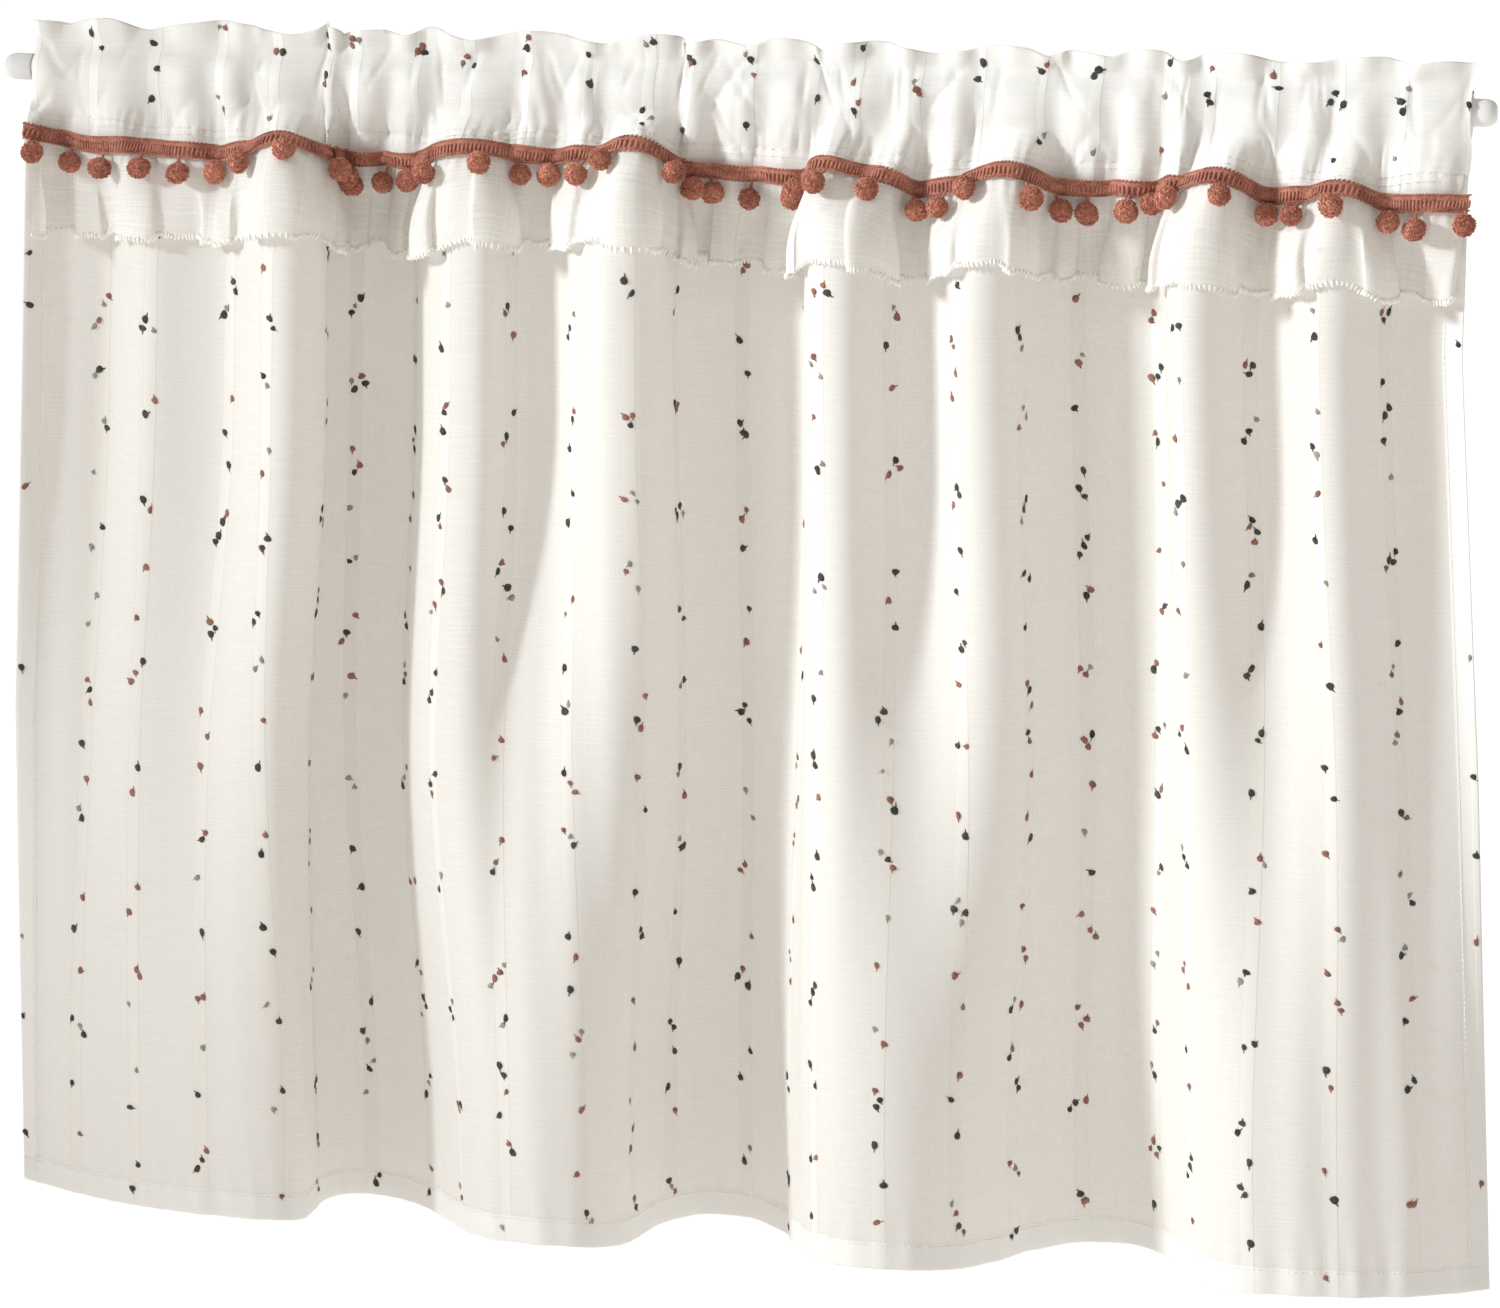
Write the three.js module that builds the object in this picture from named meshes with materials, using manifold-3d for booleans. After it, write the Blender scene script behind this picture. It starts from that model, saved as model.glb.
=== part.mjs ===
// Cafe curtain on its slim rod: a striped voile panel, a gathered heading with a rod pocket,
// a gathered flounce over the panel's top, and a braid with pompoms over the seam.
// Millimetres, +Z up. X runs along the rod from its left end face, and the room is on the -Y side.
// "drop" is the distance down the cloth from the rod's axis, negative above it, and "bay" counts
// the woven stripes across the flat cloth, 0 at the left side hem.
import * as THREE from 'three';
import { mergeVertices } from 'three/addons/utils/BufferGeometryUtils.js';
import Module from 'manifold-3d';

const wasm = await Module();
wasm.setup();

// Driving dimensions
const rodLength = 749;
const rodRadius = 6.35;
const capLength = 15;
const capRadius = 6.7;
const capFaceRadius = 3;
const bays = 25;
const flatWidth = 1067;
const cloth = { thickness: 1, hemThickness: 1.6, hemDepth: 15, bottom: 588 };
const panelTop = 37.6;
const headingBottom = 36.8;
const pompom = { count: 43, radius: 5.6, stalk: 3.4, stalkRadius: 0.8 };
const capGap = 0.35;

// "near" is how far the back of the flounce and of the braid stands off the middle of the panel
const flounce = { top: 37.6, bottom: 84, ruffle: 5, thickness: 1, near: 0.95 };
const braid = { middle: 38, width: 7, thickness: 1.8, near: 3.4 };

// Slow and quick waves along the cloth that make it uneven, in radians for each bay. The gathers
// come about one to a bay, drift and wander space them unevenly, and edge is the flounce's lower edge.
const waves = {
  gather: { size: 1, rate: 6.53, phase: 0.8 },
  drift: { size: 0.2, rate: 1.9, phase: 0.6 },
  wander: { size: 0.16, rate: 0.83, phase: 2 },
  weight: { size: 0.2, rate: 1.3, phase: 0 },
  ruffle: { size: 0.3, rate: 6.1, phase: 1.4 },
  flare: { size: 0.2, rate: 3.7, phase: 0.5 },
  edge: { size: 3, rate: 0.9, phase: 2 },
};
const gatherTurn = 44;

// Grid: columns across the flat cloth, and integration steps within each column
const columns = 96;
const steps = 5;

// The broad folds, left to right. Each row is a flank that runs to a crest or a valley at "bay",
// and "turn" is how far the cloth turns towards the room on it, in degrees.
const upperStart = -0.8;
const upperFolds = [
  { bay: 1.0, turn: -34 },
  { bay: 2.0, turn: 54 },
  { bay: 2.8, turn: -14 },
  { bay: 4.2, turn: 56 },
  { bay: 6.2, turn: -108 },
  { bay: 7.9, turn: 68 },
  { bay: 9.2, turn: -64 },
  { bay: 10.9, turn: 52 },
  { bay: 12.7, turn: -88 },
  { bay: 13.5, turn: 16 },
  { bay: 15.2, turn: 84 },
  { bay: 16.4, turn: -54 },
  { bay: 17.4, turn: 54 },
  { bay: 19.0, turn: -74 },
  { bay: 19.8, turn: 12 },
  { bay: 21.2, turn: 84 },
  { bay: 22.2, turn: -52 },
  { bay: 23.2, turn: 52 },
  { bay: 24.4, turn: -56 },
  { bay: 26.0, turn: 34 },
];
const hemStart = -3;
const hemFolds = [
  { bay: 3.8, turn: 28 },
  { bay: 5.9, turn: -98 },
  { bay: 9.6, turn: 54 },
  { bay: 12.7, turn: -84 },
  { bay: 15.9, turn: 64 },
  { bay: 19.4, turn: -60 },
  { bay: 22.1, turn: 62 },
  { bay: 28.6, turn: -36 },
];

// The outline: where the two side hems lie at a drop, and how far they stand off the rod's plane
const outline = [
  { drop: -26, left: 17, right: 738, depth: 0 },
  { drop: 0, left: 17, right: 738, depth: -1 },
  { drop: 38, left: 14, right: 738, depth: -14 },
  { drop: 110, left: 11, right: 737, depth: -15 },
  { drop: 330, left: -3, right: 750, depth: -6 },
  { drop: 588, left: -9, right: 762, depth: 2 },
];

// How much lower than on an even heading the seam and braid hang, as the heading is gathered unevenly
const seamSag = [
  { bay: 0, sag: -5 },
  { bay: 3.5, sag: 2.5 },
  { bay: 6.5, sag: -2.5 },
  { bay: 9.2, sag: -5 },
  { bay: 11, sag: 1 },
  { bay: 14, sag: 4 },
  { bay: 16.3, sag: 9 },
  { bay: 18, sag: 3 },
  { bay: 19.5, sag: 5 },
  { bay: 21.2, sag: -1 },
  { bay: 23.5, sag: 5 },
  { bay: 25, sag: 2 },
];

const mix = THREE.MathUtils.lerp;
const smooth = THREE.MathUtils.smoothstep;
const radians = THREE.MathUtils.degToRad;

// The value of one column of a table at a place, on the straight line through the two rows nearest it
function tableAt(table, key, place, column) {
  const past = table.findIndex((row) => row[key] >= place);
  const next = past < 0 ? table.length - 1 : Math.max(1, past);
  const a = table[next - 1];
  const b = table[next];
  return mix(a[column], b[column], (place - a[key]) / (b[key] - a[key]));
}

// Angle of the cloth's run to the rod, positive towards the room, from one table of folds
function foldAngle(folds, start, bay) {
  let from = start;
  for (const fold of folds) {
    if (bay <= fold.bay) {
      return radians(fold.turn) * Math.sin((Math.PI * (bay - from)) / (fold.bay - from));
    }
    from = fold.bay;
  }
  return 0;
}

function wave({ size, rate, phase }, bay) {
  return size * Math.sin(bay * rate + phase);
}

// Angle that the small gathers on the rod add, up to gatherTurn at the heaviest of them
function gatherAngle(bay) {
  const place = bay + wave(waves.drift, bay) + wave(waves.wander, bay);
  const weight = 1 - waves.weight.size + wave(waves.weight, bay);
  return radians(gatherTurn) * wave(waves.gather, place) * weight;
}

// Plan of the cloth at one drop: a point on every column, found by walking along the cloth. The broad
// folds grow and the gathers fade below the rod, and the upper folds turn into the hem's further down.
// "share" is how much of the broad folds' shortening the tight cloth on the rod already has.
const planCache = new Map();
function plan(drop) {
  if (planCache.has(drop)) return planCache.get(drop);
  const low = smooth(drop, 160, 540);
  const broad = smooth(drop, 0, 75);
  const fine = 1 - smooth(drop, 15, 95);
  const share = mix(0.6, 1, broad);
  const stride = flatWidth / (columns * steps);
  const points = [[0, 0]];
  let x = 0;
  let y = 0;
  for (let i = 1; i <= columns * steps; i++) {
    const bay = ((i - 0.5) / (columns * steps)) * bays;
    const fold = mix(foldAngle(upperFolds, upperStart, bay), foldAngle(hemFolds, hemStart, bay), low);
    const gather = fine * gatherAngle(bay);
    x += mix(Math.cos(gather), Math.cos(fold), share) * stride;
    y -= (Math.sin(fold) * broad + Math.sin(gather)) * stride;
    if (i % steps === 0) points.push([x, y]);
  }
  const left = tableAt(outline, 'drop', drop, 'left');
  const scale = (tableAt(outline, 'drop', drop, 'right') - left) / x;
  const depth = tableAt(outline, 'drop', drop, 'depth');
  const row = points.map(([px, py], i) => [
    left + px * scale,
    (py - (y * i) / columns) * scale + depth,
  ]);
  planCache.set(drop, row);
  return row;
}

function bayAt(column) {
  return (column / columns) * bays;
}

// Middle of the cloth. Where a fold stands out from the rod its run down is slanted, so it ends
// higher: half of y squared over the drop, and a bow along the whole run. A fold behind rises less.
function clothPoint(column, drop) {
  const [x, y] = plan(drop)[column];
  const bow = 0.0012;
  const behind = 0.4;
  const lift = y * y * (0.5 / Math.max(drop, 14) + bow) * (y > 0 ? behind : 1);
  const share = smooth(drop, 6, 36) * (1 - smooth(drop, 120, 360));
  return new THREE.Vector3(x, y, lift - drop - tableAt(seamSag, 'bay', bayAt(column), 'sag') * share);
}

// Unit normal of the cloth, on the room side
function clothNormal(column, drop) {
  const before = clothPoint(Math.max(column - 1, 0), drop);
  const along = clothPoint(Math.min(column + 1, columns), drop).sub(before);
  const down = clothPoint(column, drop + 3).sub(clothPoint(column, drop - 3));
  return down.cross(along).normalize();
}

// A point of a sheet that lies at a distance from the middle of the cloth
function standOff(column, drop, distance) {
  return clothPoint(column, drop).addScaledVector(clothNormal(column, drop), distance);
}

// A closed body from a front grid and a back grid of points, both [column][row] with row 0 on top
function closedSheet(front, back) {
  const rows = front[0].length;
  const last = front.length - 1;
  const positions = [...front.flat(), ...back.flat()].flatMap((p) => [p.x, p.y, p.z]);
  const f = (i, j) => i * rows + j;
  const b = (i, j) => (last + 1 + i) * rows + j;
  const index = [];
  const quad = (p, q, r, s) => index.push(p, q, r, p, r, s);
  for (let i = 0; i < last; i++) {
    for (let j = 0; j < rows - 1; j++) {
      quad(f(i, j), f(i, j + 1), f(i + 1, j + 1), f(i + 1, j));
      quad(b(i, j), b(i + 1, j), b(i + 1, j + 1), b(i, j + 1));
    }
    quad(f(i, 0), f(i + 1, 0), b(i + 1, 0), b(i, 0));
    quad(f(i, rows - 1), b(i, rows - 1), b(i + 1, rows - 1), f(i + 1, rows - 1));
  }
  for (let j = 0; j < rows - 1; j++) {
    quad(f(0, j), b(0, j), b(0, j + 1), f(0, j + 1));
    quad(f(last, j), f(last, j + 1), b(last, j + 1), b(last, j));
  }
  const geometry = new THREE.BufferGeometry();
  geometry.setAttribute('position', new THREE.Float32BufferAttribute(positions, 3));
  geometry.setIndex(index);
  return geometry;
}

function grid(rows, pointAt) {
  return Array.from({ length: columns + 1 }, (_, column) => rows.map((row, i) => pointAt(column, row, i)));
}

function toSolid(geometry) {
  const bare = geometry.clone();
  bare.deleteAttribute('normal');
  bare.deleteAttribute('uv');
  const merged = mergeVertices(bare, 1e-4);
  return new wasm.Manifold(new wasm.Mesh({
    numProp: 3,
    vertProperties: new Float32Array(merged.attributes.position.array),
    triVerts: new Uint32Array(merged.index.array),
  }));
}

function fromSolid(solid) {
  const mesh = solid.getMesh();
  const geometry = new THREE.BufferGeometry();
  geometry.setAttribute('position', new THREE.BufferAttribute(mesh.vertProperties, 3));
  geometry.setIndex(new THREE.BufferAttribute(mesh.triVerts, 1));
  return geometry;
}

// Panel: one sheet with turned side hems and a turned bottom hem
function panelGeometry() {
  const hemLine = cloth.bottom - cloth.hemDepth;
  const upperDrops = [panelTop, 50, 67, flounce.bottom, 120, 170, 240, 320, 400, 480];
  const drops = [...upperDrops, hemLine - 1, hemLine, cloth.bottom];
  const half = (column, drop) => {
    const hemmed = drop >= hemLine || column <= 1 || column >= columns - 1;
    return (hemmed && drop > flounce.bottom ? cloth.hemThickness : cloth.thickness) / 2;
  };
  return closedSheet(
    grid(drops, (column, drop) => standOff(column, drop, half(column, drop))),
    grid(drops, (column, drop) => standOff(column, drop, -half(column, drop))),
  );
}

// Heading: two layers, joined in the frill above the rod and under the rod, with the pocket between.
// "half" is half the section's depth at a drop, "hug" how closely its middle keeps to the rod, and
// "puff" how far its walls can stand out between the gathers, for the whole heading and its pocket.
// "follow" is the drop whose waves the section takes, where that isn't its own.
const headingSection = [
  { drop: -25, half: 1, hug: 0.1, puff: 0 },
  { drop: -16, half: 1.1, hug: 0.5, puff: 0 },
  { drop: -8.4, half: 3.8, hug: 1, puff: 0 },
  { drop: -3.4, half: 8, hug: 1, puff: 1 },
  { drop: 3.4, half: 8.3, hug: 1, puff: 1.8 },
  { drop: 14, half: 5.5, hug: 1, puff: 1.3 },
  { drop: 25, half: 1.3, hug: 0, puff: 0 },
  { drop: headingBottom, half: 0.8, hug: 0, puff: 0 },
];
const pocketSection = [
  { drop: -6.8, half: 2.9, hug: 1, puff: 0 },
  { drop: -2.9, half: 6.8, hug: 1, puff: 1 },
  { drop: 2.9, half: 7, hug: 1, puff: 1.8 },
  { drop: 14, half: 4.2, hug: 1, puff: 1.3 },
  { drop: 15.5, half: 1.5, hug: 0.86, puff: 0.7, follow: 25 },
];

// Puffs between the gathers, not in step with them, and differently in front and behind
function puffWave(column, phase) {
  const bay = bayAt(column);
  return wave({ ...waves.gather, phase }, bay + wave(waves.drift, bay));
}

// A point of the heading's section, where side is 1 in front and -1 behind
function headingPoint(column, { drop, half, hug, puff, follow = drop }, side) {
  const middle = clothPoint(column, follow);
  const dip = 2.2;
  const scallop = dip * (1 - puffWave(column, waves.gather.phase)) * smooth(-drop, 12, 25);
  const towardsRoom = clothNormal(column, follow).lerp(new THREE.Vector3(0, -1, 0), hug);
  const distance = side * (half + puff * (1 + puffWave(column, -side)));
  return new THREE.Vector3(middle.x, middle.y * (1 - hug), (middle.z + follow) * (1 - hug) - drop - scallop)
    .addScaledVector(towardsRoom, distance);
}

function headingGeometry() {
  const outer = closedSheet(
    grid(headingSection, (column, row) => headingPoint(column, row, 1)),
    grid(headingSection, (column, row) => headingPoint(column, row, -1)),
  );
  const overrun = 5;
  const pocketPoint = (column, row, side) => {
    const point = headingPoint(column, row, side);
    if (column === 0) point.x -= overrun;
    if (column === columns) point.x += overrun;
    return point;
  };
  const pocket = closedSheet(
    grid(pocketSection, (column, row) => pocketPoint(column, row, 1)),
    grid(pocketSection, (column, row) => pocketPoint(column, row, -1)),
  );
  return fromSolid(toSolid(outer).subtract(toSolid(pocket)));
}

// Flounce: hangs in front of the panel from under the braid, and flares into its own ruffles
function ruffle(column, drop) {
  const bay = bayAt(column);
  const flare = 0.6 + wave(waves.ruffle, bay) + wave(waves.flare, bay);
  return flounce.ruffle * flare * smooth(drop, flounce.top, flounce.bottom);
}

function flounceGeometry() {
  const drops = [flounce.top, 50, 67, flounce.bottom];
  const at = (column, drop, row, off) => {
    const uneven = row < drops.length - 1 ? 0 : wave(waves.edge, bayAt(column));
    return standOff(column, drop + uneven, flounce.near + off + ruffle(column, drop));
  };
  return closedSheet(
    grid(drops, (column, drop, row) => at(column, drop, row, flounce.thickness)),
    grid(drops, (column, drop, row) => at(column, drop, row, 0)),
  );
}

// Braid over the seam, with a row of pompoms that hang from its lower edge on short stalks
function braidGeometry() {
  const { near, thickness } = braid;
  const top = braid.middle - braid.width / 2;
  const bottom = braid.middle + braid.width / 2;
  const strip = closedSheet(
    grid([top, bottom], (column, drop) => standOff(column, drop, near + thickness)),
    grid([top, bottom], (column, drop) => standOff(column, drop, near)),
  );
  let solid = toSolid(strip);
  const ball = new THREE.SphereGeometry(pompom.radius, 7, 4);
  const hang = bottom + pompom.stalk + pompom.radius;
  const margin = 0.4;
  const sewnIn = 1;
  for (let i = 0; i < pompom.count; i++) {
    const bay = mix(margin, bays - margin, i / (pompom.count - 1));
    const column = Math.round((bay / bays) * columns);
    const root = standOff(column, bottom - sewnIn, near + thickness / 2);
    const centre = standOff(column, hang, near + pompom.radius + 1);
    const { stalkRadius } = pompom;
    const stalk = new THREE.CylinderGeometry(stalkRadius, stalkRadius, root.distanceTo(centre), 4);
    const direction = centre.clone().sub(root).normalize();
    const turn = new THREE.Quaternion().setFromUnitVectors(new THREE.Vector3(0, 1, 0), direction);
    const middle = root.clone().lerp(centre, 0.5);
    stalk.applyQuaternion(turn).translate(middle.x, middle.y, middle.z);
    const tuft = ball.clone().translate(centre.x, centre.y, centre.z);
    solid = solid.add(toSolid(stalk)).add(toSolid(tuft));
  }
  return fromSolid(solid);
}

// Rod and its rounded end caps, on the X axis
function rodGeometry() {
  const length = rodLength - 2 * capLength;
  return new THREE.CylinderGeometry(rodRadius, rodRadius, length, 18)
    .rotateZ(Math.PI / 2)
    .translate(rodLength / 2, 0, 0);
}

function capGeometry() {
  const dome = 6;
  const profile = [new THREE.Vector2(0, capGap), new THREE.Vector2(capRadius, capGap)];
  const arcSteps = 3;
  for (let i = 0; i <= arcSteps; i++) {
    const angle = (i / arcSteps) * (Math.PI / 2);
    const radius = mix(capFaceRadius, capRadius, Math.cos(angle));
    profile.push(new THREE.Vector2(radius, capLength - dome + dome * Math.sin(angle)));
  }
  profile.push(new THREE.Vector2(0, capLength));
  return new THREE.LatheGeometry(profile, 18);
}

const finishes = {
  voile: { color: 0xf1ede3, roughness: 0.9 },
  braid: { color: 0xb2614b, roughness: 0.95 },
  rod: { color: 0xf4f3f0, roughness: 0.45 },
};

function part(name, geometry, finish) {
  const material = new THREE.MeshStandardMaterial({ metalness: 0, ...finishes[finish] });
  const mesh = new THREE.Mesh(geometry, material);
  mesh.name = name;
  return mesh;
}

const group = new THREE.Group();
group.add(part('rod', rodGeometry(), 'rod'));
const leftCap = part('rod_cap_left', capGeometry(), 'rod');
leftCap.rotation.z = Math.PI / 2;
leftCap.position.x = capLength;
const rightCap = part('rod_cap_right', capGeometry(), 'rod');
rightCap.rotation.z = -Math.PI / 2;
rightCap.position.x = rodLength - capLength;
group.add(leftCap, rightCap);
group.add(part('heading', headingGeometry(), 'voile'));
group.add(part('panel', panelGeometry(), 'voile'));
group.add(part('flounce', flounceGeometry(), 'voile'));
group.add(part('pompom_braid', braidGeometry(), 'braid'));

export default group;
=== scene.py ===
"""Cafe curtain on its slim rod: striped voile with tufted dots, gathered in a rod pocket, with a
flounce and a pompom braid over the seam. Lengths in this file are millimetres, and to_piece() turns
them into the scene's metres. X runs along the rod, +Z is up, and the room is on the -Y side."""
import math

import bpy
import numpy as np
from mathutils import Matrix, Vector


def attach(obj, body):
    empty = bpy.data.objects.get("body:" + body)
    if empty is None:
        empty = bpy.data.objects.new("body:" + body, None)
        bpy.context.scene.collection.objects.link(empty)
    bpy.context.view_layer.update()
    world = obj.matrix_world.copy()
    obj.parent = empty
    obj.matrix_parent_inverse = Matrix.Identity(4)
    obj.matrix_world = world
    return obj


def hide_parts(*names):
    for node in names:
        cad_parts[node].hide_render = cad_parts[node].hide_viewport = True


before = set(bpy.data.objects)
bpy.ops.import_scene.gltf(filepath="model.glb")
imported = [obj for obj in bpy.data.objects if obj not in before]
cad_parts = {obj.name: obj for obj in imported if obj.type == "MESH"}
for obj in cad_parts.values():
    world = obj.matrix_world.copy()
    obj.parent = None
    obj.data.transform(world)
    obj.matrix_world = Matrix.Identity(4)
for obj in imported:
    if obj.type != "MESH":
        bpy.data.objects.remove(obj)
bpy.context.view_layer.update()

# The voile panel: one width of semi-sheer cotton, 25 stripe spaces wide, that falls in folds from the
# seam. Broad folds grow out of the small gathers on the rod and merge on their way down. Its sides
# and bottom are turned to the back in narrow hems.
MM = 0.001
BAYS = 25
FLAT_WIDTH = 1067
STRIPE_SPACE = FLAT_WIDTH / BAYS
PANEL_TOP = 37.6
PANEL_BOTTOM = 588
# The small gathers at the rod: how far they turn the cloth, in degrees, and how far their wave goes on in
# each stripe space, in radians
GATHER_TURN = 44
GATHER_PHASE = 6.53
# Drops between which the gathers fade out, the broad folds merge, and the seam's sag evens out
GATHERS_FADE = (15, 95)
FOLDS_MERGE = (160, 540)
SAG_EVENS = (120, 360)

# Each fold is a flank that ends at a crest or a valley: the stripe space where it ends, and how far
# the cloth turns towards the room on it, in degrees. The first set is below the rod, and the second is
# at the hem.
UPPER_START = -0.8
UPPER_FOLDS = [
    (1.0, -34), (2.0, 54), (2.8, -14), (4.2, 56), (6.2, -104), (8.4, 60), (9.3, -70),
    (10.9, 52), (12.7, -88), (13.5, 16), (15.2, 84), (16.4, -54), (17.4, 54), (19.0, -74),
    (19.8, 12), (21.2, 84), (22.2, -52), (23.2, 52), (24.4, -56), (26.0, 34),
]
HEM_START = -3
HEM_FOLDS = [
    (3.8, 28), (5.9, -98), (9.6, 54), (12.7, -84), (15.9, 64), (19.4, -60), (22.1, 62), (28.6, -36),
]
# Where the side hems lie at each drop below the rod, and how far they stand off it
OUTLINE = {
    "drop": [-26, 0, 38, 110, 330, 588],
    "left": [17, 17, 14, 11, -3, -9],
    "right": [738, 738, 738, 737, 750, 762],
    "depth": [0, -1, -14, -15, -6, 2],
}
# How much lower than even the seam hangs at each stripe space
SEAM_SAG = {
    "bay": [0, 1.8, 4.4, 5.4, 8, 9.2, 11, 12.4, 14, 16.3, 18, 20.4, 21.5, 23.6, 25],
    "sag": [-5, 1.5, 5, 0.5, 1.5, -2.5, 2, 0.5, 3, 9, 3, 2, 5, 9, 6],
}


def smooth(value, start, end):
    share = np.clip((np.asarray(value, float) - start) / (end - start), 0, 1)
    return share * share * (3 - 2 * share)


def fold_angle(folds, start, bay):
    angle = np.zeros_like(bay)
    for end, turn in folds:
        flank = (bay > start) & (bay <= end)
        angle[flank] = math.radians(turn) * np.sin(np.pi * (bay[flank] - start) / (end - start))
        start = end
    return angle


def gather_place(bay):
    return bay + 0.2 * np.sin(bay * 1.9 + 0.6)


def cloth_row(drop):
    """The middle of the cloth at one drop, a point for each millimetre of its flat width."""
    bay = (np.arange(FLAT_WIDTH) + 0.5) / STRIPE_SPACE
    low = smooth(drop, *FOLDS_MERGE)
    broad = smooth(drop, 0, 75)
    share = 0.6 + 0.4 * broad
    upper_fold = fold_angle(UPPER_FOLDS, UPPER_START, bay)
    hem_fold = fold_angle(HEM_FOLDS, HEM_START, bay)
    fold = (1 - low) * upper_fold + low * hem_fold
    place = gather_place(bay) + 0.16 * np.sin(bay * 0.83 + 2)
    strength = 0.8 + 0.2 * np.sin(bay * 1.3)
    gather = math.radians(GATHER_TURN) * np.sin(GATHER_PHASE * place + 0.8) * strength
    gather = gather * (1 - smooth(drop, *GATHERS_FADE))
    step_x = (1 - share) * np.cos(gather) + share * np.cos(fold)
    x = np.concatenate([[0], np.cumsum(step_x)])
    y = -np.concatenate([[0], np.cumsum(np.sin(fold) * broad + np.sin(gather))])
    sides = ("left", "right", "depth")
    left, right, depth = (np.interp(drop, OUTLINE["drop"], OUTLINE[side]) for side in sides)
    scale = (right - left) / x[-1]
    even = np.linspace(0, 1, FLAT_WIDTH + 1)
    y = (y - y[-1] * even) * scale + depth
    # Cloth that stands off the rod's plane hangs at a slant, so its threads end a little higher
    behind = np.where(y > 0, 0.4, 1)
    lift = y * y * (0.5 / max(drop, 14) + 0.0012) * behind
    sag = np.interp(even * BAYS, SEAM_SAG["bay"], SEAM_SAG["sag"])
    sag = sag * smooth(drop, 6, 36) * (1 - smooth(drop, *SAG_EVENS))
    return np.stack([left + x * scale, y, lift - drop - sag], axis=-1)


class Surface:
    """A fine grid of points over the cloth's flat width and one more measure, such as the drop."""

    def __init__(self, across, down, points):
        self.across = np.asarray(across, float)
        self.down = np.asarray(down, float)
        self.points = points
        run = np.gradient(points, axis=1)
        fall = np.gradient(points, axis=0)
        normals = np.cross(fall, run)
        self.normals = normals / np.linalg.norm(normals, axis=-1, keepdims=True)

    def at(self, across, down, off=0.0):
        """Points and unit normals at flat places, standing off the surface towards the room."""
        across, down, off = np.broadcast_arrays(across, down, off)
        i = np.interp(across, self.across, np.arange(len(self.across)))
        j = np.interp(down, self.down, np.arange(len(self.down)))
        i0 = np.minimum(i.astype(int), len(self.across) - 2)
        j0 = np.minimum(j.astype(int), len(self.down) - 2)
        fi = (i - i0)[..., None]
        fj = (j - j0)[..., None]
        mixed = []
        for grid in (self.points, self.normals):
            upper = grid[j0, i0] * (1 - fi) + grid[j0, i0 + 1] * fi
            lower = grid[j0 + 1, i0] * (1 - fi) + grid[j0 + 1, i0 + 1] * fi
            mixed.append(upper * (1 - fj) + lower * fj)
        point, normal = mixed
        normal = normal / np.linalg.norm(normal, axis=-1, keepdims=True)
        return point + normal * off[..., None], normal


every_mm = np.arange(FLAT_WIDTH + 1)
cloth_drops = np.arange(-32, 594, 2.0)
hang = Surface(every_mm, cloth_drops, np.stack([cloth_row(drop) for drop in cloth_drops]))


def to_piece(name, points, faces, material=None, flat=None):
    """A mesh object from points in millimetres. flat is the place of each point on the flat cloth."""
    mesh = bpy.data.meshes.new(name)
    mesh.from_pydata((np.reshape(points, (-1, 3)) * MM).tolist(), [], np.asarray(faces).tolist())
    mesh.shade_smooth()
    if flat is not None:
        attribute = mesh.attributes.new("flat_cloth", "FLOAT_VECTOR", "POINT")
        attribute.data.foreach_set("vector", np.reshape(flat, -1).astype(np.float32))
    if material:
        mesh.materials.append(material)
    piece = bpy.data.objects.new(name, mesh)
    bpy.context.scene.collection.objects.link(piece)
    return piece


def grid_faces(rows, columns):
    """Quads of a grid whose row 0 is on top, facing the room."""
    corner = (np.arange(rows - 1)[:, None] * columns + np.arange(columns - 1)).reshape(-1, 1)
    return corner + np.array([0, columns, columns + 1, 1])


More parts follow.
